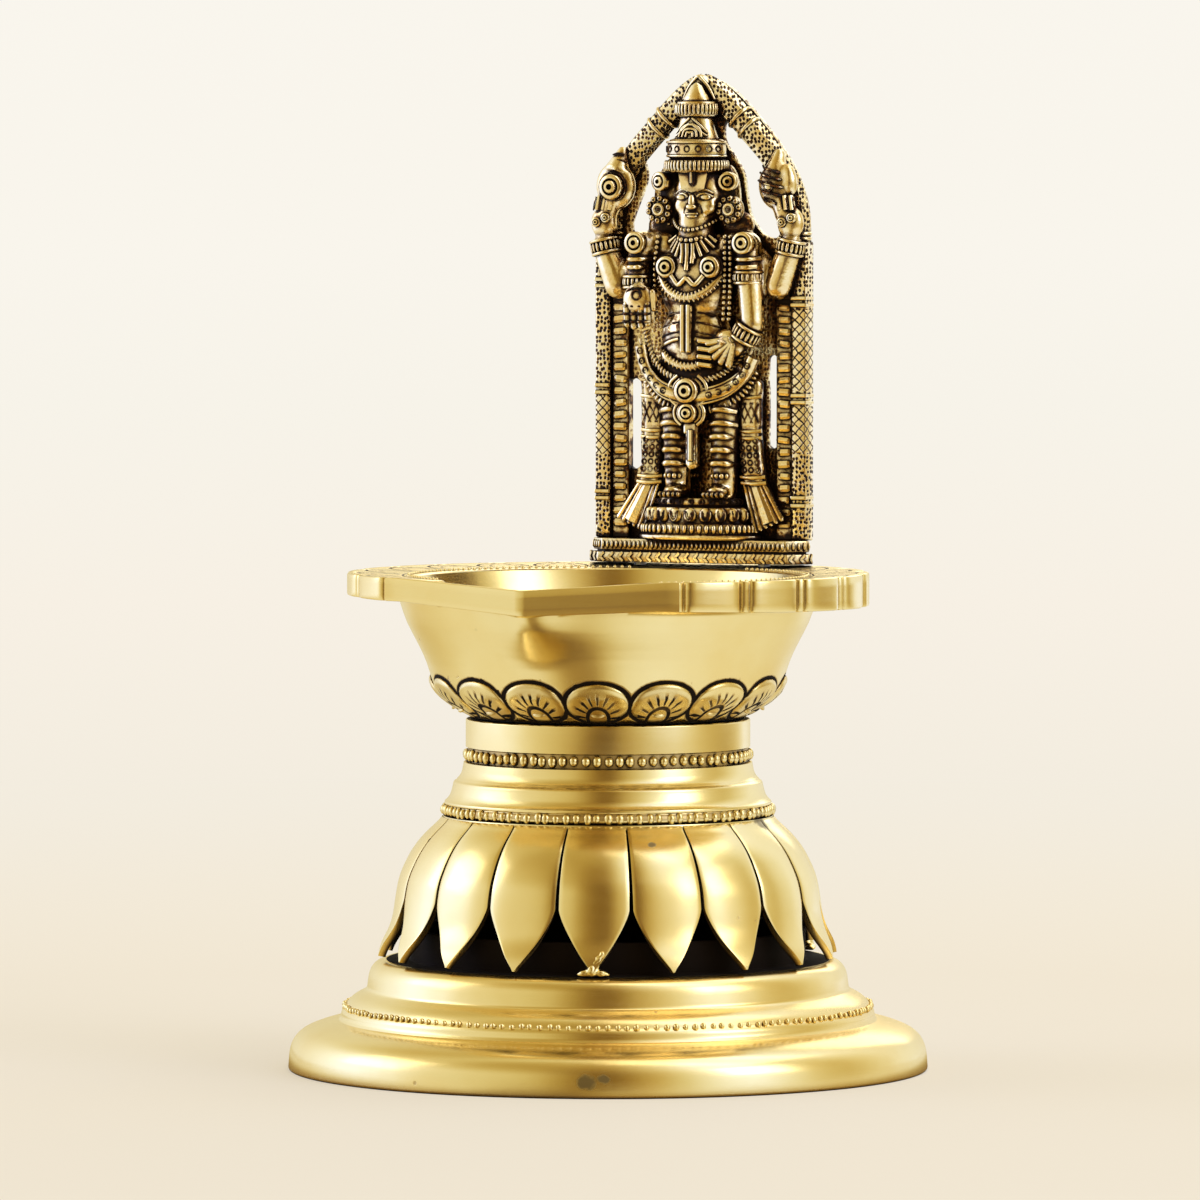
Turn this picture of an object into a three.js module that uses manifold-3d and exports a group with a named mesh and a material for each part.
// A south Indian figural oil lamp in brass, about 200 mm tall.
// A stepped foot carries a bell of sawn lotus petals and a turned neck. The lamp bowl, with its scalloped
// flange and V spout, screws onto the neck by a stud. A standing four-armed figure under an arch stands on
// the flange, opposite the spout.
// Millimetres, +Z up. The origin is the centre of the foot on the table, and the viewer stands at -Y.

import * as THREE from 'three';
import { mergeVertices } from 'three/addons/utils/BufferGeometryUtils.js';
import { ConvexGeometry } from 'three/addons/geometries/ConvexGeometry.js';
import Module from 'manifold-3d';

const wasm = await Module();
wasm.setup();

// Fits
const SEAT_GAP = 0.3; // between pieces that rest on or are brazed to each other
const STUD_CLEARANCE = 0.4; // round the lamp's stud
const SCREW_CLEARANCE = 0.35; // round the screws of the figure

// Foot: three tiers with rounded shoulders, hollow and open through its middle
const FOOT_RADIUS = 64.1;
const FOOT_WALL = 2.8;
const PLINTH_HEIGHT = 9.8;
const MIDDLE_TIER_RADIUS = 53.4;
const MIDDLE_TIER_HEIGHT = 6.1;
const TOP_TIER_RADIUS = 48.2;
const TOP_TIER_HEIGHT = 6.1;
const FOOT_OPENING_RADIUS = 38;
const SPIGOT_RADIUS = 39.6; // the low wall inside the bell, round the foot's opening
const SPIGOT_HEIGHT = 6.4;
const TIER_SHOULDER = 4.2; // how far a rounded shoulder runs down a tier's side

// Lotus bell: petals parted by saw cuts, flaring to points above the foot
const PETAL_COUNT = 18;
const PETAL_BEARING = -3.8; // degrees from the viewer to the nearest petal, positive to the right
const PETAL_THICKNESS = 1.6;
const PETAL_CROWN = 0.7; // how much a petal's middle stands out past its edges
const PETAL_FULLNESS = 1.3; // 1 gives a petal's point straight sides, 2 round ones
const PETAL_TIP_LIFT = 0.9; // from the foot's top to the points
const PETAL_TIP_RADIUS = 46.3;
const SAW_CUT = 0.8;
const SPLIT_LIFT = 12.9; // from the foot's top to where the petals part
const BELL_HEIGHT = 28.9; // from the foot's top to the neck
const BELL_TOP_RADIUS = 33.8;
const BELL_WIDEST_RADIUS = 43.2;
const BELL_RING_WIDTH = 4.2;
const BELL_RING_HEIGHT = 1.5;
const BRAZED_FEET = 3;
const BRAZED_FOOT_RADIUS = 2;

// Neck: a turned collar with two half-round bead bands, closed at its top by a tapped web
const NECK_RADIUS = 28.5;
const NECK_HEIGHT = 19;
const NECK_WALL = 2.2;
const UPPER_BEAD_DROP = 8.1; // from the neck's top to the middle of its upper bead band
const LOWER_BEAD_LIFT = 0.9; // from the neck's lower edge to the middle of its lower bead band
const BEAD_RADIUS = 0.85;
const NECK_BAND_RADIUS = 31.1;
const WEB_THICKNESS = 3.4;
const BOSS_RADIUS = 8.5;
const BOSS_LENGTH = 9;

// Washer under the bowl
const WASHER_THICKNESS = 0.6;
const WASHER_RADIUS = 26.6;

// Stud of the bowl: its engaged length is the four turns of thread that hold the lamp
const STUD_RADIUS = 4;
const THREAD_PITCH = 1.5;
const THREAD_TURNS = 4;
const STUD_SOCKET_DEPTH = 4;

// Bowl, flange and spout
const BOWL_HEIGHT = 28.9; // from the bowl's bottom edge to the rim
const BOWL_BOTTOM_RADIUS = 27.6;
const BOWL_BELLY_RADIUS = 35.2;
const BOWL_BELLY_HEIGHT = 6.6; // above the bowl's bottom
const BOWL_NECK_RADIUS = 41;
const BOWL_WALL = 2.6;
const BOWL_FLOOR = 6.9; // thickness of the floor, where the stud is held
const WASHER_RECESS = 0.7;
const FLANGE_THICKNESS = 5.6;
const FLANGE_RADIUS = 52.3;
const FLANGE_TAPER = 0.022; // the underside falls by this much for each millimetre to the right
const FLANGE_DISH = 0.8; // how much the top falls towards the mouth
const MOUTH_RADIUS = 38;
const SCALLOP_COUNT = 18;
const SCALLOP_DEPTH = 1.3;
const SPOUT_BEARING = -21.3; // degrees, positive to the right of the viewer's line
const SPOUT_REACH = 48;
const SPOUT_HALF_ANGLE = 36.8;
const SPOUT_DROOP = 1.9;
const SPOUT_LIP = 2.2; // wall left between the spout's trough and its edge
const SPOUT_TROUGH_DEPTH = 9;
const BOWL_PETAL_COUNT = 16;
const BOWL_PETAL_BEARING = -3.7;
const BOWL_PETAL_THICKNESS = 2; // half of it, at the petal's middle
const BOWL_PETAL_RELIEF = 0.8;

// Figure group: plate, arch and figure, in a frame of its own that faces the spout
const FIGURE_BEARING = 25.8; // degrees from straight behind, positive to the right
const FIGURE_DISTANCE = 45; // from the lamp's axis
const PLATE_HALF_WIDTH = 24.8;
const PLATE_FRONT = -6;
const PLATE_BACK = 2.6;
const PLATE_HEIGHT = 4.5;
const PLATE_STEP = 0.6; // how far the upper course stands in from the lower one
const PLATE_FRONT_CHAMFER = 3.4;
const PLATE_BACK_CHAMFER = 2.8;

const ARCH_HALF_WIDTH = 24.2;
const ARCH_APEX = 100.1; // above the rim
const ARCH_SPRING = 69; // above the rim, where the pillars bend into the arch
const ARCH_BACK = 2.2;
const ARCH_SHEET = 1.6; // thickness of the sheet between the pillars
const PILLAR_WIDTH = 3.4;
const PILLAR_DEPTH = 4;
const RIB_STRIP_WIDTH = 3.2;
const ARCH_TUBE_RADIUS = 2.7;
const BAND_GROWTH = 0.45; // how far the cross-bands stand out of the pillars
const PILLAR_PARTING = 0.25; // the groove between a pillar's two strips
const RIB_PITCH = 2.5;
const RIB_SHARE = 0.62; // of the pitch, the rest is groove
const RIB_LIFT = 0.9; // how far the ribs stand out of their strip
const RIBS_FROM = 4; // above the plate
const RIBS_END = 14; // below the spring of the arch
const PILLAR_BANDS = [27.9, 31.4, 54.9]; // heights of the bands above the plate, besides the pair at the foot
const BAND_HEIGHT = 1.3;
const SLOT_HALF_WIDTH = 0.8;
const SLOT_ENDS = { left: [14.9, 31.9], right: [19.4, 36.9] }; // above the plate

// The figure is drawn in modules, as traditional figures are, and stands as high as the arch allows.
const SEAT_LEVEL = 5.1; // modules from the drawing's ground line to the underside of the lotus seat
const CROWN_LEVEL = 97.4; // modules to the top of the crown
const BODY_LEVEL = -2.6; // modules from the frame's middle to the middle of the body, towards the viewer

const SCREW_RADIUS = 1.25;
const SCREW_HEAD_RADIUS = 2.4;
const SCREW_HEAD_HEIGHT = 1.6;
const SCREW_WASHER_RADIUS = 2.9;
const SCREW_WASHER_THICKNESS = 0.6;
const SCREW_SPACING = 28;
const SCREW_ENGAGEMENT = 3; // length of thread in the plate

// How round the turned pieces are
const TURNED_SEGMENTS = 36;
const FOOT_SEGMENTS = 40;
const SMALL_SEGMENTS = 8;

// Heights from the table up, each piece standing on the one below
const MIDDLE_TIER_TOP = PLINTH_HEIGHT + MIDDLE_TIER_HEIGHT;
const FOOT_HEIGHT = MIDDLE_TIER_TOP + TOP_TIER_HEIGHT;
const BELL_TOP = FOOT_HEIGHT + BELL_HEIGHT;
const NECK_BOTTOM = BELL_TOP + SEAT_GAP;
const NECK_TOP = NECK_BOTTOM + NECK_HEIGHT;
const WASHER_BOTTOM = NECK_TOP + SEAT_GAP;
const WASHER_TOP = WASHER_BOTTOM + WASHER_THICKNESS;
const BOWL_BOTTOM = WASHER_TOP + SEAT_GAP - WASHER_RECESS;
const RIM_HEIGHT = BOWL_BOTTOM + BOWL_HEIGHT;
const FLANGE_UNDERSIDE = RIM_HEIGHT - FLANGE_THICKNESS;

const radians = THREE.MathUtils.degToRad;

function brass(color, roughness) {
  return new THREE.MeshStandardMaterial({ color, roughness, metalness: 1 });
}

const POLISHED_BRASS = brass(0xcfa95a, 0.32);
const ANTIQUE_BRASS = brass(0x9b7a3c, 0.45);
const DARK_WASHER = new THREE.MeshStandardMaterial({ color: 0x2a2118, roughness: 0.8, metalness: 0 });
const SCREW_STEEL = new THREE.MeshStandardMaterial({ color: 0x8f8f8c, roughness: 0.4, metalness: 1 });

// Turns a closed three.js mesh into a solid that can be joined and cut.
function solidOf(geometry) {
  const bare = geometry.clone();
  bare.deleteAttribute('normal');
  bare.deleteAttribute('uv');
  const merged = mergeVertices(bare, 1e-4);
  const corners = merged.index.array;
  const kept = [];
  for (let i = 0; i < corners.length; i += 3) {
    const [a, b, c] = [corners[i], corners[i + 1], corners[i + 2]];
    if (a !== b && b !== c && c !== a) kept.push(a, b, c);
  }
  const mesh = new wasm.Mesh({
    numProp: 3,
    vertProperties: Float32Array.from(merged.attributes.position.array),
    triVerts: Uint32Array.from(kept),
  });
  return new wasm.Manifold(mesh);
}

function geometryOf(solid) {
  const mesh = solid.getMesh();
  const geometry = new THREE.BufferGeometry();
  geometry.setAttribute('position', new THREE.BufferAttribute(Float32Array.from(mesh.vertProperties), 3));
  geometry.setIndex(new THREE.BufferAttribute(Uint32Array.from(mesh.triVerts), 1));
  geometry.computeVertexNormals();
  return geometry;
}

function joined(geometries) {
  return geometries.map(solidOf).reduce((whole, next) => whole.add(next));
}

function pieceOf(name, geometry, material) {
  const piece = new THREE.Mesh(geometry, material);
  piece.name = name;
  return piece;
}

// Revolves an outline about the Z axis. x is the radius and y the height, going up on the outside.
function turned(outline, segments = TURNED_SEGMENTS) {
  const points = outline.getPoints(2);
  if (points[0].x > 0) points.push(points[0].clone());
  return new THREE.LatheGeometry(points, segments).rotateX(Math.PI / 2);
}

function rod(radius, bottom, top, segments = SMALL_SEGMENTS) {
  const outline = new THREE.Path();
  outline.moveTo(0, bottom).lineTo(radius, bottom).lineTo(radius, top).lineTo(0, top);
  return turned(outline, segments);
}

function ring(inner, outer, bottom, top, segments = TURNED_SEGMENTS) {
  const outline = new THREE.Path();
  outline.moveTo(inner, bottom).lineTo(outer, bottom).lineTo(outer, top).lineTo(inner, top);
  return turned(outline, segments);
}

// A point at a bearing seen from above: 0 faces the viewer, positive goes to the right.
function atBearing(degrees, radius, z = 0) {
  return new THREE.Vector3(Math.sin(radians(degrees)) * radius, -Math.cos(radians(degrees)) * radius, z);
}

function footGeometry() {
  const side = PLINTH_HEIGHT - TIER_SHOULDER;
  const middleSide = MIDDLE_TIER_TOP - TIER_SHOULDER;
  const outline = new THREE.Path();
  outline.moveTo(FOOT_RADIUS - FOOT_WALL, 0);
  outline.lineTo(FOOT_RADIUS - 0.5, 0);
  outline.lineTo(FOOT_RADIUS, 0.6);
  outline.lineTo(FOOT_RADIUS - 0.9, side);
  outline.quadraticCurveTo(FOOT_RADIUS - 1.5, PLINTH_HEIGHT - 0.6, MIDDLE_TIER_RADIUS + 2.8, PLINTH_HEIGHT);
  outline.lineTo(MIDDLE_TIER_RADIUS + 0.5, PLINTH_HEIGHT + 0.5);
  outline.lineTo(MIDDLE_TIER_RADIUS, middleSide);
  outline.quadraticCurveTo(
    MIDDLE_TIER_RADIUS - 0.6,
    MIDDLE_TIER_TOP - 0.8,
    TOP_TIER_RADIUS + 1.4,
    MIDDLE_TIER_TOP - 0.2,
  );
  outline.lineTo(TOP_TIER_RADIUS + 0.2, MIDDLE_TIER_TOP + 0.4);
  outline.lineTo(TOP_TIER_RADIUS - 0.5, FOOT_HEIGHT - 2.6);
  outline.quadraticCurveTo(TOP_TIER_RADIUS - 1.1, FOOT_HEIGHT - 0.1, TOP_TIER_RADIUS - 3.3, FOOT_HEIGHT);
  outline.lineTo(SPIGOT_RADIUS, FOOT_HEIGHT);
  outline.lineTo(SPIGOT_RADIUS, FOOT_HEIGHT + SPIGOT_HEIGHT);
  outline.lineTo(FOOT_OPENING_RADIUS, FOOT_HEIGHT + SPIGOT_HEIGHT);
  outline.lineTo(FOOT_OPENING_RADIUS, FOOT_HEIGHT - FOOT_WALL);
  outline.lineTo(TOP_TIER_RADIUS - FOOT_WALL - 0.8, FOOT_HEIGHT - FOOT_WALL);
  outline.lineTo(TOP_TIER_RADIUS - FOOT_WALL - 0.4, MIDDLE_TIER_TOP - FOOT_WALL + 0.6);
  outline.lineTo(MIDDLE_TIER_RADIUS - FOOT_WALL - 1.6, MIDDLE_TIER_TOP - FOOT_WALL - 0.8);
  outline.lineTo(MIDDLE_TIER_RADIUS - FOOT_WALL, PLINTH_HEIGHT - FOOT_WALL + 0.6);
  outline.lineTo(FOOT_RADIUS - FOOT_WALL - 3, PLINTH_HEIGHT - FOOT_WALL);
  outline.lineTo(FOOT_RADIUS - FOOT_WALL - 0.5, PLINTH_HEIGHT - FOOT_WALL - 3);
  return turned(outline, FOOT_SEGMENTS);
}

// The bell's outside from its top down to the points, as radius and height.
function bellCurve() {
  const tip = FOOT_HEIGHT + PETAL_TIP_LIFT;
  const height = BELL_TOP - tip;
  const swell = BELL_WIDEST_RADIUS - BELL_TOP_RADIUS;
  return new THREE.SplineCurve([
    new THREE.Vector2(BELL_TOP_RADIUS, BELL_TOP),
    new THREE.Vector2(BELL_TOP_RADIUS + swell * 0.45, tip + height * 0.82),
    new THREE.Vector2(BELL_TOP_RADIUS + swell * 0.78, tip + height * 0.63),
    new THREE.Vector2(BELL_TOP_RADIUS + swell * 0.95, tip + height * 0.41),
    new THREE.Vector2(BELL_WIDEST_RADIUS + 0.4, tip + height * 0.22),
    new THREE.Vector2(PETAL_TIP_RADIUS, tip),
  ]);
}

// Where the bell's curve passes a height, and which way is out.
function bellAt(curve, height) {
  let low = 0;
  let high = 1;
  for (let i = 0; i < 24; i += 1) {
    const middle = (low + high) / 2;
    if (curve.getPoint(middle).y > height) low = middle;
    else high = middle;
  }
  const point = curve.getPoint(low);
  const along = curve.getTangent(low);
  return { radius: point.x, height: point.y, out: new THREE.Vector2(-along.y, along.x).normalize() };
}

// One petal: rows from the bell's ring to the point, each crowned across and as wide as the outline allows.
function petalGeometry(bearing) {
  const curve = bellCurve();
  const tip = FOOT_HEIGHT + PETAL_TIP_LIFT;
  const split = FOOT_HEIGHT + SPLIT_LIFT;
  const pitch = Math.PI / PETAL_COUNT;
  const heights = [];
  for (let i = 0; i <= 3; i += 1) heights.push(BELL_TOP - 0.5 - ((BELL_TOP - 0.5 - split) * i) / 3);
  for (let i = 1; i <= 3; i += 1) heights.push(split - ((split - tip) * i) / 3);
  const columns = [-1, -0.4, 0.4, 1];
  const positions = [];
  for (const face of [0, 1]) {
    for (const height of heights) {
      const { radius, out } = bellAt(curve, height);
      const full = pitch - SAW_CUT / 2 / radius;
      const share = Math.min(1, (height - tip) / (split - tip));
      const half = Math.max(full * (1 - (1 - share) ** PETAL_FULLNESS), 0.006);
      for (const column of columns) {
        const sink = face * PETAL_THICKNESS;
        const r = radius - PETAL_CROWN * column * column * (half / full) - out.x * sink;
        const angle = radians(bearing) + column * half;
        positions.push(Math.sin(angle) * r, -Math.cos(angle) * r, height - out.y * sink);
      }
    }
  }
  const across = columns.length;
  const rows = heights.length;
  const at = (face, row, column) => face * rows * across + row * across + column;
  const quads = [];
  for (let row = 0; row < rows - 1; row += 1) {
    for (let column = 0; column < across - 1; column += 1) {
      quads.push([at(0, row, column), at(0, row + 1, column), at(0, row + 1, column + 1), at(0, row, column + 1)]);
      quads.push([at(1, row, column), at(1, row, column + 1), at(1, row + 1, column + 1), at(1, row + 1, column)]);
    }
    quads.push([at(0, row, 0), at(1, row, 0), at(1, row + 1, 0), at(0, row + 1, 0)]);
    const last = across - 1;
    quads.push([at(0, row, last), at(0, row + 1, last), at(1, row + 1, last), at(1, row, last)]);
  }
  for (let column = 0; column < across - 1; column += 1) {
    quads.push([at(0, 0, column), at(0, 0, column + 1), at(1, 0, column + 1), at(1, 0, column)]);
    const end = rows - 1;
    quads.push([at(0, end, column), at(1, end, column), at(1, end, column + 1), at(0, end, column + 1)]);
  }
  const geometry = new THREE.BufferGeometry();
  geometry.setAttribute('position', new THREE.Float32BufferAttribute(positions, 3));
  geometry.setIndex(quads.flatMap(([a, b, c, d]) => [a, b, c, a, c, d]));
  return geometry;
}

function lotusBellGeometry() {
  const pieces = [ring(BELL_TOP_RADIUS - BELL_RING_WIDTH, BELL_TOP_RADIUS, BELL_TOP - BELL_RING_HEIGHT, BELL_TOP)];
  for (let i = 0; i < PETAL_COUNT; i += 1) {
    pieces.push(petalGeometry(PETAL_BEARING + (360 / PETAL_COUNT) * i));
  }
  const footing = FOOT_HEIGHT + SEAT_GAP;
  for (let i = 0; i < BRAZED_FEET; i += 1) {
    const outline = new THREE.Path();
    outline.moveTo(0, footing).lineTo(BRAZED_FOOT_RADIUS, footing);
    outline.quadraticCurveTo(BRAZED_FOOT_RADIUS * 0.4, footing + 1, BRAZED_FOOT_RADIUS * 0.35, footing + 4);
    outline.lineTo(0, footing + 4);
    const place = atBearing(PETAL_BEARING + (360 / BRAZED_FEET) * i, PETAL_TIP_RADIUS - PETAL_THICKNESS - 0.3);
    pieces.push(turned(outline, 8).translate(place.x, place.y, 0));
  }
  return geometryOf(joined(pieces));
}

function neckGeometry() {
  const bottom = NECK_BOTTOM;
  const lowerBead = bottom + LOWER_BEAD_LIFT;
  const upperBead = NECK_TOP - UPPER_BEAD_DROP;
  const outline = new THREE.Path();
  outline.moveTo(BELL_TOP_RADIUS - NECK_WALL - 0.6, bottom);
  outline.lineTo(BELL_TOP_RADIUS - 1, bottom);
  outline.quadraticCurveTo(BELL_TOP_RADIUS + BEAD_RADIUS, lowerBead, BELL_TOP_RADIUS - 1, lowerBead + BEAD_RADIUS);
  outline.lineTo(BELL_TOP_RADIUS - 1.4, lowerBead + 1.2);
  outline.quadraticCurveTo(BELL_TOP_RADIUS - 1.9, bottom + 3.2, NECK_BAND_RADIUS + 0.6, bottom + 3.6);
  outline.lineTo(NECK_BAND_RADIUS, bottom + 4.4);
  outline.quadraticCurveTo(NECK_BAND_RADIUS - 0.3, bottom + 7.6, NECK_RADIUS + 0.9, upperBead - 1.7);
  outline.lineTo(NECK_RADIUS, upperBead - 1.3);
  outline.lineTo(NECK_RADIUS, upperBead - BEAD_RADIUS);
  outline.quadraticCurveTo(NECK_RADIUS + 2 * BEAD_RADIUS, upperBead, NECK_RADIUS, upperBead + BEAD_RADIUS);
  outline.lineTo(NECK_RADIUS, NECK_TOP);
  outline.lineTo(STUD_RADIUS + STUD_CLEARANCE, NECK_TOP);
  outline.lineTo(STUD_RADIUS + STUD_CLEARANCE, NECK_TOP - BOSS_LENGTH);
  outline.lineTo(BOSS_RADIUS, NECK_TOP - BOSS_LENGTH);
  outline.lineTo(BOSS_RADIUS, NECK_TOP - WEB_THICKNESS);
  outline.lineTo(NECK_RADIUS - NECK_WALL, NECK_TOP - WEB_THICKNESS);
  outline.lineTo(NECK_RADIUS - NECK_WALL, upperBead);
  return turned(outline);
}

const studTop = BOWL_BOTTOM + WASHER_RECESS + STUD_SOCKET_DEPTH;
const studBottom = NECK_TOP - THREAD_PITCH * THREAD_TURNS;

function seatWasherGeometry() {
  return ring(STUD_RADIUS + STUD_CLEARANCE + 0.6, WASHER_RADIUS, WASHER_BOTTOM, WASHER_TOP, 24);
}

// The bowl's outside, from its bottom edge up to the flange, moved in by a wall thickness for the well.
function bowlSide(outline, inset) {
  const belly = BOWL_BOTTOM + BOWL_BELLY_HEIGHT;
  outline.quadraticCurveTo(BOWL_BELLY_RADIUS - inset - 0.6, BOWL_BOTTOM + 3.4, BOWL_BELLY_RADIUS - inset, belly);
  outline.quadraticCurveTo(
    BOWL_BELLY_RADIUS - inset + 1,
    belly + 3.4,
    BOWL_NECK_RADIUS - inset - 1.6,
    FLANGE_UNDERSIDE - 4.6,
  );
  return outline;
}

function bowlBody() {
  const outline = new THREE.Path();
  outline.moveTo(0, BOWL_BOTTOM);
  outline.lineTo(BOWL_BOTTOM_RADIUS, BOWL_BOTTOM);
  bowlSide(outline, 0);
  outline.lineTo(BOWL_NECK_RADIUS, FLANGE_UNDERSIDE - 1.8);
  outline.quadraticCurveTo(BOWL_NECK_RADIUS + 0.7, FLANGE_UNDERSIDE - 0.1, BOWL_NECK_RADIUS + 3.4, FLANGE_UNDERSIDE + 1.5);
  outline.lineTo(BOWL_NECK_RADIUS + 3.4, RIM_HEIGHT - 1);
  outline.lineTo(0, RIM_HEIGHT - 1);
  return solidOf(turned(outline));
}

function bowlWell() {
  const floor = BOWL_BOTTOM + BOWL_FLOOR;
  const outline = new THREE.Path();
  outline.moveTo(0, floor);
  outline.lineTo(BOWL_BELLY_RADIUS - BOWL_WALL - 9, floor);
  outline.quadraticCurveTo(
    BOWL_BELLY_RADIUS - BOWL_WALL - 0.6,
    floor + 0.8,
    BOWL_BELLY_RADIUS - BOWL_WALL + 0.8,
    floor + 6,
  );
  outline.lineTo(MOUTH_RADIUS - 0.6, RIM_HEIGHT - FLANGE_DISH - 1.5);
  outline.quadraticCurveTo(MOUTH_RADIUS, RIM_HEIGHT - FLANGE_DISH - 0.8, MOUTH_RADIUS + 0.8, RIM_HEIGHT - FLANGE_DISH);
  outline.lineTo(MOUTH_RADIUS + 0.8, RIM_HEIGHT + 1);
  outline.lineTo(0, RIM_HEIGHT + 1);
  return solidOf(turned(outline));
}

// The flange seen from above: scallops all round, and two straight edges that meet at the spout's point.
function flangeOutline() {
  const outline = new THREE.Shape();
  const first = SPOUT_BEARING + SPOUT_HALF_ANGLE;
  const pitch = (360 - 2 * SPOUT_HALF_ANGLE) / SCALLOP_COUNT;
  const tip = atBearing(SPOUT_BEARING, SPOUT_REACH);
  outline.moveTo(tip.x, tip.y);
  for (let i = 0; i < SCALLOP_COUNT; i += 1) {
    const start = atBearing(first + pitch * i, FLANGE_RADIUS - SCALLOP_DEPTH);
    outline.lineTo(start.x, start.y);
    for (const share of [0.14, 0.38, 0.62, 0.86]) {
      const swell = SCALLOP_DEPTH * Math.sqrt(1 - (2 * share - 1) ** 4);
      const point = atBearing(first + pitch * (i + share), FLANGE_RADIUS - SCALLOP_DEPTH + swell);
      outline.lineTo(point.x, point.y);
    }
  }
  const end = atBearing(SPOUT_BEARING - SPOUT_HALF_ANGLE, FLANGE_RADIUS - SCALLOP_DEPTH);
  outline.lineTo(end.x, end.y);
  return outline;
}

// How far a point lies outside the chord between the spout's two corners.
function beyondSpoutChord(x, y) {
  const out = atBearing(SPOUT_BEARING, 1);
  return x * out.x + y * out.y - spoutChord();
}

function spoutChord() {
  return FLANGE_RADIUS * Math.cos(radians(SPOUT_HALF_ANGLE));
}

function flangeBody() {
  const geometry = new THREE.ExtrudeGeometry(flangeOutline(), { depth: FLANGE_THICKNESS, bevelEnabled: false });
  const places = geometry.attributes.position;
  for (let i = 0; i < places.count; i += 1) {
    const x = places.getX(i);
    const beyond = Math.max(0, beyondSpoutChord(x, places.getY(i)));
    const droop = (SPOUT_DROOP * beyond) / (SPOUT_REACH - spoutChord());
    const taper = places.getZ(i) < FLANGE_THICKNESS / 2 ? FLANGE_TAPER * x : 0;
    places.setZ(i, places.getZ(i) + FLANGE_UNDERSIDE - taper - droop);
  }
  return solidOf(geometry);
}

function flangeDish() {
  const outline = new THREE.Path();
  outline.moveTo(0, RIM_HEIGHT - FLANGE_DISH);
  outline.lineTo(MOUTH_RADIUS, RIM_HEIGHT - FLANGE_DISH);
  outline.lineTo(FLANGE_RADIUS + 1, RIM_HEIGHT + 0.02);
  outline.lineTo(FLANGE_RADIUS + 1, RIM_HEIGHT + 1);
  outline.lineTo(0, RIM_HEIGHT + 1);
  return solidOf(turned(outline));
}

// The trough behind the spout's edges, falling from the lip into the well.
function spoutTrough() {
  const top = RIM_HEIGHT + 1;
  const reach = SPOUT_REACH - SPOUT_LIP - 1;
  const side = SPOUT_HALF_ANGLE - 8;
  const points = [];
  for (const [bearing, radius, z] of [
    [0, reach, top],
    [0, reach, RIM_HEIGHT - SPOUT_DROOP - 1.2],
    [side, FLANGE_RADIUS - SPOUT_LIP - 4, top],
    [side, FLANGE_RADIUS - SPOUT_LIP - 4, RIM_HEIGHT - 2.2],
    [-side, FLANGE_RADIUS - SPOUT_LIP - 4, top],
    [-side, FLANGE_RADIUS - SPOUT_LIP - 4, RIM_HEIGHT - 2.2],
    [side, MOUTH_RADIUS * 0.6, top],
    [-side, MOUTH_RADIUS * 0.6, top],
    [0, MOUTH_RADIUS - 2.6, RIM_HEIGHT - SPOUT_TROUGH_DEPTH],
    [side, MOUTH_RADIUS - 4, RIM_HEIGHT - SPOUT_TROUGH_DEPTH + 2],
    [-side, MOUTH_RADIUS - 4, RIM_HEIGHT - SPOUT_TROUGH_DEPTH + 2],
  ]) {
    points.push(atBearing(SPOUT_BEARING + bearing, radius, z));
  }
  return solidOf(new ConvexGeometry(points));
}

// The soft keel that runs from under the spout's point down the bowl's wall.
function spoutKeel() {
  const under = FLANGE_UNDERSIDE - SPOUT_DROOP + 0.4;
  const points = [];
  for (const [bearing, radius, z] of [
    [0, SPOUT_REACH - 0.8, under],
    [0, SPOUT_REACH - 3.5, under - 2.2],
    [16, spoutChord() + 1.2, FLANGE_UNDERSIDE + 0.6],
    [-16, spoutChord() + 1.2, FLANGE_UNDERSIDE + 0.6],
    [9, BOWL_NECK_RADIUS - 0.6, FLANGE_UNDERSIDE - 5.5],
    [-9, BOWL_NECK_RADIUS - 0.6, FLANGE_UNDERSIDE - 5.5],
    [0, BOWL_NECK_RADIUS - 1, FLANGE_UNDERSIDE - 7],
    [0, BOWL_BELLY_RADIUS + 0.6, FLANGE_UNDERSIDE - 14],
    [0, BOWL_BELLY_RADIUS - 1.5, FLANGE_UNDERSIDE - 14],
    [14, BOWL_NECK_RADIUS - 2.8, FLANGE_UNDERSIDE + 0.6],
    [-14, BOWL_NECK_RADIUS - 2.8, FLANGE_UNDERSIDE + 0.6],
  ]) {
    points.push(atBearing(SPOUT_BEARING + bearing, radius, z));
  }
  return solidOf(new ConvexGeometry(points));
}

// One rounded petal of the band round the bowl's underside, lying along its slope.
function bowlPetal(bearing) {
  const petal = new THREE.SphereGeometry(1, 7, 5);
  const middleRadius = (BOWL_BOTTOM_RADIUS + BOWL_BELLY_RADIUS) / 2 + 1.6;
  const slope = Math.atan2(BOWL_BELLY_RADIUS - BOWL_BOTTOM_RADIUS, BOWL_BELLY_HEIGHT);
  const halfWidth = (Math.PI * middleRadius) / BOWL_PETAL_COUNT - 0.15;
  const sunk = BOWL_PETAL_THICKNESS - BOWL_PETAL_RELIEF;
  petal.scale(halfWidth, BOWL_PETAL_THICKNESS, BOWL_BELLY_HEIGHT * 0.74);
  petal.rotateX(slope);
  petal.translate(
    0,
    -(middleRadius - sunk * Math.cos(slope)),
    BOWL_BOTTOM + BOWL_BELLY_HEIGHT / 2 + sunk * Math.sin(slope),
  );
  petal.rotateZ(radians(bearing));
  return solidOf(petal);
}

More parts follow.
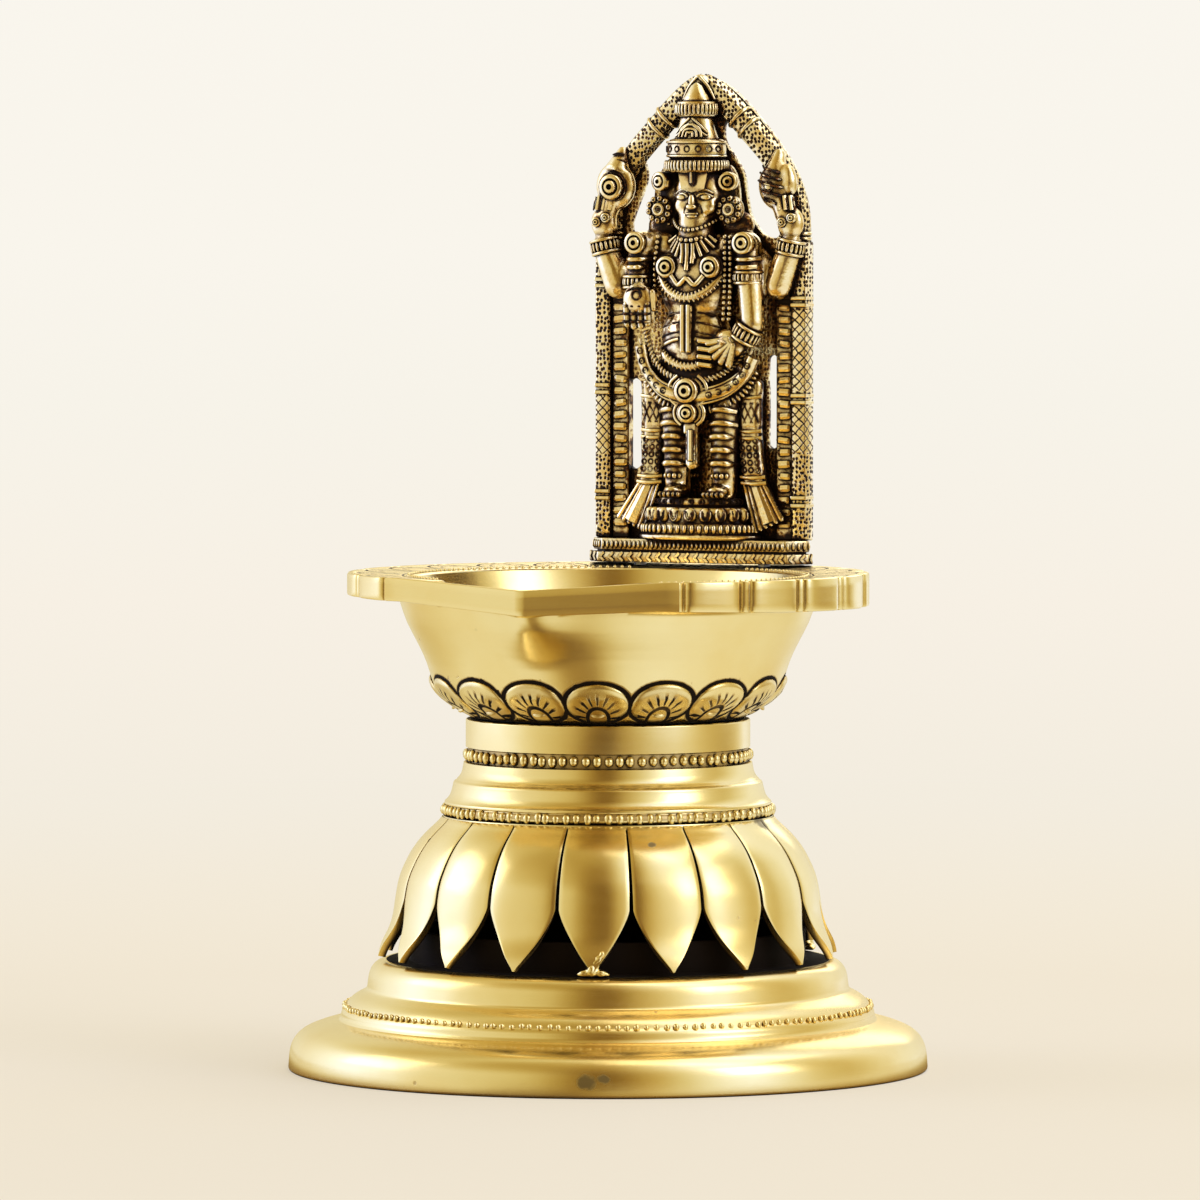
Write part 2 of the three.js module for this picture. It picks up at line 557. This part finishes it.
function lampBowlGeometry() {
  let bowl = bowlBody().add(flangeBody()).add(spoutKeel());
  for (let i = 0; i < BOWL_PETAL_COUNT; i += 1) {
    bowl = bowl.add(bowlPetal(BOWL_PETAL_BEARING + (360 / BOWL_PETAL_COUNT) * i));
  }
  bowl = bowl.subtract(bowlWell()).subtract(spoutTrough()).subtract(flangeDish());
  bowl = bowl.subtract(solidOf(rod(WASHER_RADIUS + 0.5, BOWL_BOTTOM - 1, BOWL_BOTTOM + WASHER_RECESS, TURNED_SEGMENTS)));
  bowl = bowl.subtract(solidOf(rod(STUD_RADIUS + STUD_CLEARANCE, BOWL_BOTTOM, studTop + SEAT_GAP)));
  for (const place of screwPlaces()) {
    const hole = rod(SCREW_RADIUS + SCREW_CLEARANCE, FLANGE_UNDERSIDE - 5, RIM_HEIGHT + 2);
    bowl = bowl.subtract(solidOf(hole.translate(place.x, place.y, 0)));
  }
  return geometryOf(bowl);
}

function lampStudGeometry() {
  return rod(STUD_RADIUS, studBottom, studTop, 16);
}

// The figure group's own frame: x to the figure's left hand, y to its back, z up from the rim.
const figureFrame = new THREE.Group();
figureFrame.position.copy(atBearing(180 - FIGURE_BEARING, FIGURE_DISTANCE, RIM_HEIGHT));
figureFrame.rotation.z = radians(-FIGURE_BEARING);
figureFrame.updateMatrixWorld();

function screwPlaces() {
  return [-0.5, 0.5].map((side) => {
    const place = new THREE.Vector3(side * SCREW_SPACING, (PLATE_FRONT + PLATE_BACK) / 2 + 1, 0);
    return figureFrame.localToWorld(place);
  });
}

// A plate's outline with its corners cut off, moved in by an inset.
function plateOutline(inset) {
  const half = PLATE_HALF_WIDTH - inset;
  const front = PLATE_FRONT + inset;
  const back = PLATE_BACK - inset / 2;
  const outline = new THREE.Shape();
  outline.moveTo(-half, front + PLATE_FRONT_CHAMFER);
  outline.lineTo(-half + PLATE_FRONT_CHAMFER, front);
  outline.lineTo(half - PLATE_FRONT_CHAMFER, front);
  outline.lineTo(half, front + PLATE_FRONT_CHAMFER);
  outline.lineTo(half, back - PLATE_BACK_CHAMFER);
  outline.lineTo(half - PLATE_BACK_CHAMFER, back);
  outline.lineTo(-half + PLATE_BACK_CHAMFER, back);
  outline.lineTo(-half, back - PLATE_BACK_CHAMFER);
  return outline;
}

function slab(outline, bottom, top) {
  return new THREE.ExtrudeGeometry(outline, { depth: top - bottom, bevelEnabled: false }).translate(0, 0, bottom);
}

const plateTop = SEAT_GAP + PLATE_HEIGHT;
const figureBase = plateTop + SEAT_GAP;
const figureModule = (ARCH_APEX - ARCH_TUBE_RADIUS - figureBase) / (CROWN_LEVEL - SEAT_LEVEL);

// A height above the rim from a height in the figure's drawing.
function levelOf(modules) {
  return figureBase + (modules - SEAT_LEVEL) * figureModule;
}

function figurePlateGeometry() {
  const middle = SEAT_GAP + PLATE_HEIGHT / 2;
  let plate = solidOf(slab(plateOutline(0), SEAT_GAP, middle - 0.25));
  plate = plate.add(solidOf(slab(plateOutline(PLATE_STEP * 2), middle - 0.3, middle + 0.3)));
  plate = plate.add(solidOf(slab(plateOutline(PLATE_STEP), middle + 0.25, plateTop)));
  for (const place of screwPlaces()) {
    const local = figureFrame.worldToLocal(place);
    const hole = rod(SCREW_RADIUS + SCREW_CLEARANCE, -1, SEAT_GAP + SCREW_ENGAGEMENT + SEAT_GAP);
    plate = plate.subtract(solidOf(hole.translate(local.x, local.y, 0)));
  }
  return geometryOf(plate);
}

// Stands a drawing of x and z up in the figure's frame, from a front to a back depth.
function upright(outline, front, back) {
  const geometry = new THREE.ExtrudeGeometry(outline, { depth: back - front, bevelEnabled: false, curveSegments: 5 });
  return geometry.rotateX(Math.PI / 2).translate(0, back, 0);
}

// Half of the arch's outer edge, from the plate to the apex, moved in by an inset. side is 1 or -1.
function archEdge(outline, side, inset) {
  const half = ARCH_HALF_WIDTH - inset;
  const apex = ARCH_APEX - inset;
  outline.lineTo(side * half, ARCH_SPRING);
  outline.bezierCurveTo(side * half, ARCH_SPRING + 10, side * (half - 6.7), apex - 13, side * (half - 13.2), apex - 6);
  outline.quadraticCurveTo(side * (half - 18.7), apex - 0.2, 0, apex);
}

function archSheetOutline() {
  const right = new THREE.Shape();
  right.moveTo(0, figureBase);
  right.lineTo(ARCH_HALF_WIDTH, figureBase);
  archEdge(right, 1, 0);
  const rightPoints = right.getPoints(5);
  const leftPoints = rightPoints
    .slice(1, -1)
    .reverse()
    .map((point) => new THREE.Vector2(-point.x, point.y));
  const outline = new THREE.Shape([...rightPoints, ...leftPoints]);
  for (const side of [-1, 1]) {
    outline.holes.push(headOpening(side));
    outline.holes.push(pillarSlot(side));
  }
  return outline;
}

// The opening between the arch, the crown and the raised hand, in the figure's modules.
function headOpening(side) {
  const at = (x, z) => [side * x * figureModule, levelOf(z)];
  const hole = new THREE.Path();
  hole.moveTo(...at(4.6, 91));
  hole.quadraticCurveTo(...at(10.5, 88.6), ...at(15.2, 82.8));
  hole.lineTo(...at(14, 79.6));
  hole.lineTo(...at(16.2, 71.4));
  hole.quadraticCurveTo(...at(15.6, 67), ...at(13.6, 67.6));
  hole.lineTo(...at(10, 70.6));
  hole.lineTo(...at(10.6, 74.5));
  hole.lineTo(...at(8.2, 80.5));
  return hole;
}

function pillarSlot(side) {
  const middle = ARCH_HALF_WIDTH - PILLAR_WIDTH - RIB_STRIP_WIDTH - 2.5 * SLOT_HALF_WIDTH;
  const [bottom, top] = (side < 0 ? SLOT_ENDS.left : SLOT_ENDS.right).map((height) => figureBase + height);
  const hole = new THREE.Path();
  hole.moveTo(side * (middle - SLOT_HALF_WIDTH), bottom);
  hole.absarc(side * middle, top, SLOT_HALF_WIDTH, side < 0 ? 0 : Math.PI, side < 0 ? Math.PI : 0, side > 0);
  hole.lineTo(side * (middle + SLOT_HALF_WIDTH), bottom);
  return hole;
}

// A bar of the arch: the tube's middle line runs up a pillar and over to the apex.
function archTubePath(side) {
  const outline = new THREE.Path();
  outline.moveTo(side * (ARCH_HALF_WIDTH - ARCH_TUBE_RADIUS), ARCH_SPRING - 4);
  archEdge(outline, side, ARCH_TUBE_RADIUS);
  const points = outline.getPoints(6).map((point) => new THREE.Vector3(point.x, 0, point.y));
  return new THREE.CatmullRomCurve3(points);
}

function archTube(side, growth) {
  const radius = ARCH_TUBE_RADIUS + growth;
  const section = new THREE.Shape().absarc(0, 0, radius, 0, Math.PI * 2, false);
  const options = { steps: 12, curveSegments: 4, bevelEnabled: false, extrudePath: archTubePath(side) };
  const tube = new THREE.ExtrudeGeometry(section, options);
  return tube.scale(1, 0.8, 1).translate(0, ARCH_BACK - ARCH_TUBE_RADIUS * 0.8, 0);
}

function box(x0, x1, y0, y1, z0, z1) {
  const shape = new THREE.BoxGeometry(x1 - x0, y1 - y0, z1 - z0);
  return shape.translate((x0 + x1) / 2, (y0 + y1) / 2, (z0 + z1) / 2);
}

// A pillar: a plain outer strip with paired cross-bands, and a narrow inner strip of square ribs.
function pillar(side, growth) {
  const base = figureBase;
  const outer = ARCH_HALF_WIDTH;
  const parting = outer - PILLAR_WIDTH;
  const inner = parting - RIB_STRIP_WIDTH;
  const mirrored = (x0, x1, y0, y1, z0, z1) =>
    side > 0 ? box(x0, x1, y0, y1, z0, z1) : box(-x1, -x0, y0, y1, z0, z1);
  const front = ARCH_BACK - PILLAR_DEPTH;
  const pieces = [
    mirrored(parting + PILLAR_PARTING - growth, outer + growth, front - growth, ARCH_BACK, base - growth, ARCH_SPRING),
  ];
  const bandOuter = outer + BAND_GROWTH + growth;
  for (const lift of [BAND_HEIGHT * 0.7, BAND_HEIGHT * 2.3, ...PILLAR_BANDS]) {
    const height = base + lift;
    pieces.push(
      mirrored(parting, bandOuter, front - BAND_GROWTH - growth, ARCH_BACK, height, height + BAND_HEIGHT),
    );
  }
  const ribFront = front + 0.3 - growth;
  const stripTop = ARCH_SPRING - RIBS_END + 4;
  pieces.push(
    mirrored(inner - growth, parting + 0.3, ribFront + RIB_LIFT, ARCH_BACK, base - growth, stripTop),
  );
  for (let height = base + RIBS_FROM; height < ARCH_SPRING - RIBS_END; height += RIB_PITCH) {
    const ribTop = height + RIB_PITCH * RIB_SHARE;
    pieces.push(mirrored(inner - growth, parting, ribFront, ARCH_BACK - 1, height, ribTop));
  }
  return pieces;
}

function archSolid(growth) {
  const pieces = [upright(archSheetOutline(), ARCH_BACK - ARCH_SHEET - growth, ARCH_BACK)];
  for (const side of [-1, 1]) {
    pieces.push(archTube(side, growth));
    pieces.push(...pillar(side, growth));
  }
  return joined(pieces);
}

function ellipsoid(center, radii, segments = 8) {
  const shape = new THREE.SphereGeometry(1, segments, Math.round(segments * 0.6));
  return shape.rotateX(Math.PI / 2).scale(...radii).translate(...center);
}

// A round limb between two points, tapering from one radius to the other.
function limb(from, to, radius, endRadius, segments = 6) {
  const start = new THREE.Vector3(...from);
  const end = new THREE.Vector3(...to);
  const outline = new THREE.Path();
  const length = start.distanceTo(end);
  outline.moveTo(0, -radius * 0.6);
  outline.lineTo(radius, 0);
  outline.lineTo(endRadius, length);
  outline.lineTo(0, length + endRadius * 0.6);
  const shape = turned(outline, segments);
  const turn = new THREE.Quaternion().setFromUnitVectors(new THREE.Vector3(0, 0, 1), end.sub(start).normalize());
  return shape.applyQuaternion(turn).translate(...from);
}

// A disc that faces the viewer, such as an ear ornament or the ringed discus.
function facingDisc(center, radius, thickness) {
  const outline = new THREE.Path();
  outline.moveTo(0, 0).lineTo(radius, 0).lineTo(radius, thickness * 0.6);
  outline.lineTo(radius * 0.6, thickness).lineTo(0, thickness);
  return turned(outline, 9).rotateX(Math.PI / 2).translate(...center);
}

function ovalTurned(outline, depthShare, center) {
  return turned(outline, 14).scale(1, depthShare, 1).translate(center[0], center[1], 0);
}

// The oval lotus seat: a beaded foot, a row of petals and a top plate.
function lotusSeat() {
  const outline = new THREE.Path();
  outline.moveTo(0, SEAT_LEVEL).lineTo(13.2, SEAT_LEVEL).lineTo(13.2, SEAT_LEVEL + 1);
  outline.lineTo(11.8, SEAT_LEVEL + 1.6).lineTo(12.4, SEAT_LEVEL + 2.4).lineTo(11.8, SEAT_LEVEL + 3.4);
  outline.quadraticCurveTo(10.4, SEAT_LEVEL + 4.2, 12.3, SEAT_LEVEL + 6.2);
  outline.lineTo(10.8, SEAT_LEVEL + 6.8).lineTo(10.8, SEAT_LEVEL + 8).lineTo(0, SEAT_LEVEL + 8);
  return ovalTurned(outline, 0.34, [0.3, -1.5]);
}

function ribbedLeg(side) {
  const outline = new THREE.Path();
  outline.moveTo(0, SEAT_LEVEL + 7.6).lineTo(3.4, SEAT_LEVEL + 7.6);
  const ribs = 5;
  for (let i = 0; i < ribs; i += 1) {
    const height = SEAT_LEVEL + 9.5 + i * 3.2;
    const radius = 3.3 + i * 0.2;
    outline.lineTo(radius - 0.4, height).lineTo(radius + 0.5, height + 0.9).lineTo(radius + 0.5, height + 2);
  }
  outline.lineTo(4.4, SEAT_LEVEL + 27).lineTo(0, SEAT_LEVEL + 27);
  return turned(outline, 8).scale(1, 0.85, 1).translate(side * 5.4, BODY_LEVEL, 0);
}

function torso() {
  return [
    ellipsoid([0, BODY_LEVEL, 37.5], [11, 4.4, 8.5], 10),
    ellipsoid([0, BODY_LEVEL - 0.4, 49.5], [8.4, 4.2, 8], 10),
    ellipsoid([0, BODY_LEVEL - 0.6, 60.6], [9.6, 4.3, 7], 10),
    limb([0, BODY_LEVEL, 62], [0, BODY_LEVEL - 0.4, 70], 4.2, 3.2),
  ];
}

// The head with its tall crown, ear ornaments and round earrings.
function headAndCrown() {
  const depth = BODY_LEVEL - 1.2;
  const crown = new THREE.Path();
  crown.moveTo(0, 79.5).lineTo(6.3, 80.6).lineTo(6.6, 82.3).lineTo(6.1, 82.8).lineTo(6.5, 84);
  crown.lineTo(6.2, 86.2).lineTo(5.2, 87);
  crown.quadraticCurveTo(3.9, 89.4, 3.6, 91.4);
  crown.lineTo(4.2, 91.8).lineTo(4.2, 93.8).lineTo(3, 94.4).lineTo(1.4, 97).lineTo(0, 97.4);
  const pieces = [
    ellipsoid([0, depth, 75.6], [5, 4.1, 6.4], 10),
    ovalTurned(crown, 0.66, [0, depth + 0.3]),
    box(-0.9, 0.9, depth - 4.7, depth - 3.4, 73.4, 76.2),
  ];
  for (const side of [-1, 1]) {
    pieces.push(facingDisc([side * 7.4, depth + 0.6, 77.7], 1.8, 1.6));
    pieces.push(facingDisc([side * 7.6, depth + 0.2, 72.2], 2.6, 1.8));
    pieces.push(limb([side * 4, depth + 1.6, 75], [side * 7.8, depth + 2, 75], 3, 2.4));
  }
  return pieces;
}

// The rear pair of arms, raised beside the arch with the discus and the conch.
function raisedArm(side) {
  const depth = BODY_LEVEL + 0.4;
  return [
    limb([side * 11, depth, 64], [side * 17, depth, 56.6], 3, 2.7),
    limb([side * 17, depth, 56.2], [side * 20.6, depth, 64.4], 2.8, 2.3),
    limb([side * 20.3, depth, 63.2], [side * 20.9, depth, 65.2], 2.9, 2.9),
    ellipsoid([side * 20.6, depth - 0.4, 69.4], [2.6, 1.8, 3.4]),
  ];
}

function emblems() {
  const depth = BODY_LEVEL + 0.6;
  return [
    facingDisc([-18.2, depth, 76.8], 3.7, 2),
    limb([-19.6, depth, 70], [-18.4, depth, 75], 1.8, 1.4),
    ellipsoid([18, depth - 0.3, 76.4], [3.1, 2, 3.9]),
    limb([18.2, depth, 79], [18.6, depth, 82.4], 1.8, 1.3),
    limb([19.6, depth, 70], [18.4, depth, 75], 1.8, 1.6),
  ];
}

// The front arms: one palm hangs open, the other hand rests on the hip with fanned fingers.
function frontArms() {
  const depth = BODY_LEVEL - 1.4;
  const pieces = [
    ellipsoid([-12, depth, 65.2], [3, 2.8, 2.6]),
    ellipsoid([12, depth, 65.2], [3, 2.8, 2.6]),
    limb([-12, depth, 64], [-12.2, depth, 58], 2.7, 2.6),
    limb([-12.2, depth - 0.8, 58.6], [-12.4, depth - 1.4, 56.4], 3, 3.1),
    ellipsoid([-12.6, depth - 1.6, 53.6], [3.5, 1.7, 3]),
    box(-15.6, -9.4, depth - 2.6, depth - 1, 48.4, 53),
    limb([12, depth, 64], [12.9, depth - 0.4, 57.6], 2.8, 2.6),
    limb([12.9, depth - 0.4, 57.8], [13, depth - 0.8, 48.6], 2.9, 2.3),
    limb([12.6, depth - 1, 47.2], [10.8, depth - 1.2, 46], 2.7, 2.7),
  ];
  for (let i = 0; i < 5; i += 1) {
    const reach = radians(188 + i * 17);
    const knuckle = [9.4 + Math.cos(reach) * 0.6, depth - 1.8, 46 + Math.sin(reach) * 0.6];
    pieces.push(
      limb(knuckle, [9.4 + Math.cos(reach) * 4.8, depth - 1.6, 46 + Math.sin(reach) * 4.8], 0.95, 0.75, 5),
    );
  }
  pieces.push(ellipsoid([9.6, depth - 1.3, 45.8], [2.6, 1.5, 2.4]));
  return pieces;
}

// A rounded cord along a curve of points, such as a garland.
function garland(points, radius, steps) {
  const path = new THREE.CatmullRomCurve3(points.map((point) => new THREE.Vector3(...point)));
  const section = new THREE.Shape().absarc(0, 0, radius, 0, Math.PI * 2, false);
  return new THREE.ExtrudeGeometry(section, { steps, curveSegments: 3, bevelEnabled: false, extrudePath: path });
}

function dress() {
  const front = BODY_LEVEL - 4.2;
  const pieces = [
    garland([[-12.6, -4.2, 43], [-9.6, front, 37.6], [0, front - 0.9, 34.4], [9.6, front, 37.6], [12.6, -4.2, 43]], 1.3, 12),
    garland([[-7, front + 0.4, 61.5], [-4.4, front - 0.3, 57.2], [0, front - 0.7, 55.4], [4.4, front - 0.3, 57.2], [7, front + 0.4, 61.5]], 0.8, 8),
    facingDisc([0, front - 0.2, 35.6], 2.3, 1.9),
    facingDisc([0.2, front + 0.2, 31.4], 2, 1.9),
    facingDisc([-5, front + 1, 60.8], 2.1, 1.6),
    facingDisc([5, front + 1, 60.8], 2.1, 1.6),
    limb([0.3, front + 0.6, 31], [0.4, front + 2, 21.8], 1.3, 1.1, 6),
  ];
  for (const side of [-1, 1]) {
    const panel = new THREE.Shape();
    panel.moveTo(side * 8.4, 40).lineTo(side * 12.6, 42).lineTo(side * 13.2, 20);
    panel.lineTo(side * 18.4, SEAT_LEVEL + 2).lineTo(side * 14.2, SEAT_LEVEL + 0.2).lineTo(side * 9.2, 17.6);
    pieces.push(upright(panel, BODY_LEVEL - 1.4, BODY_LEVEL + 2.2));
    pieces.push(ellipsoid([side * 4.8, BODY_LEVEL - 2.4, SEAT_LEVEL + 9], [2.7, 2.6, 1.7]));
  }
  return pieces;
}

function standingFigureGeometry() {
  const pieces = [lotusSeat(), ribbedLeg(-1), ribbedLeg(1)];
  pieces.push(...torso(), ...headAndCrown());
  pieces.push(...raisedArm(-1), ...raisedArm(1), ...emblems());
  pieces.push(...frontArms(), ...dress());
  pieces.push(upright(backWeb(), BODY_LEVEL, -BODY_LEVEL));
  for (const piece of pieces) {
    piece.translate(0, 0, -SEAT_LEVEL);
    piece.scale(figureModule, figureModule, figureModule);
    piece.translate(0, 0, figureBase);
  }
  const back = ARCH_BACK - ARCH_SHEET - SEAT_GAP;
  const behind = box(-ARCH_HALF_WIDTH, ARCH_HALF_WIDTH, back, back + ARCH_HALF_WIDTH, 0, ARCH_APEX);
  return geometryOf(joined(pieces).subtract(archSolid(SEAT_GAP)).subtract(solidOf(behind)));
}

// The web of metal behind the body that joins its parts in one casting.
function backWeb() {
  const web = new THREE.Shape();
  web.moveTo(-8, SEAT_LEVEL + 7).lineTo(8, SEAT_LEVEL + 7).lineTo(10, 40).lineTo(10, 62);
  web.lineTo(5.4, 69).lineTo(5.4, 86).lineTo(-5.4, 86).lineTo(-5.4, 69).lineTo(-10, 62).lineTo(-10, 40);
  return web;
}

// The underside of the flange over a place, where the washers of the screws sit.
function undersideAt(place) {
  return FLANGE_UNDERSIDE - FLANGE_TAPER * place.x;
}

function screwGeometry(place) {
  const head = undersideAt(place) - 2 * SEAT_GAP - SCREW_WASHER_THICKNESS;
  const outline = new THREE.Path();
  outline.moveTo(0, head - SCREW_HEAD_HEIGHT);
  outline.lineTo(SCREW_HEAD_RADIUS * 0.7, head - SCREW_HEAD_HEIGHT);
  outline.lineTo(SCREW_HEAD_RADIUS, head - SCREW_HEAD_HEIGHT * 0.4);
  outline.lineTo(SCREW_HEAD_RADIUS, head);
  outline.lineTo(SCREW_RADIUS, head);
  outline.lineTo(SCREW_RADIUS, RIM_HEIGHT + SEAT_GAP + SCREW_ENGAGEMENT);
  outline.lineTo(0, RIM_HEIGHT + SEAT_GAP + SCREW_ENGAGEMENT);
  return turned(outline, SMALL_SEGMENTS).translate(place.x, place.y, 0);
}

function screwWasherGeometry(place) {
  const top = undersideAt(place) - SEAT_GAP;
  const inner = SCREW_RADIUS + SCREW_CLEARANCE;
  const washer = ring(inner, SCREW_WASHER_RADIUS, top - SCREW_WASHER_THICKNESS, top, SMALL_SEGMENTS);
  return washer.translate(place.x, place.y, 0);
}

const stand = new THREE.Group();
stand.add(pieceOf('foot', footGeometry(), POLISHED_BRASS));
stand.add(pieceOf('lotus_bell', lotusBellGeometry(), POLISHED_BRASS));
stand.add(pieceOf('neck', neckGeometry(), POLISHED_BRASS));

const seat = new THREE.Group();
seat.add(pieceOf('seat_washer', seatWasherGeometry(), DARK_WASHER));

figureFrame.add(pieceOf('figure_plate', figurePlateGeometry(), ANTIQUE_BRASS));
figureFrame.add(pieceOf('arch', geometryOf(archSolid(0)), ANTIQUE_BRASS));
figureFrame.add(pieceOf('standing_figure', standingFigureGeometry(), ANTIQUE_BRASS));

const lamp = new THREE.Group();
lamp.add(pieceOf('lamp_bowl', lampBowlGeometry(), POLISHED_BRASS));
lamp.add(pieceOf('lamp_stud', lampStudGeometry(), POLISHED_BRASS));
lamp.add(figureFrame);
screwPlaces().forEach((place, i) => {
  const side = ['left', 'right'][i];
  lamp.add(pieceOf(`figure_screw_${side}`, screwGeometry(place), SCREW_STEEL));
  lamp.add(pieceOf(`screw_washer_${side}`, screwWasherGeometry(place), SCREW_STEEL));
});

const oilLamp = new THREE.Group();
oilLamp.add(stand, seat, lamp);

export default oilLamp;
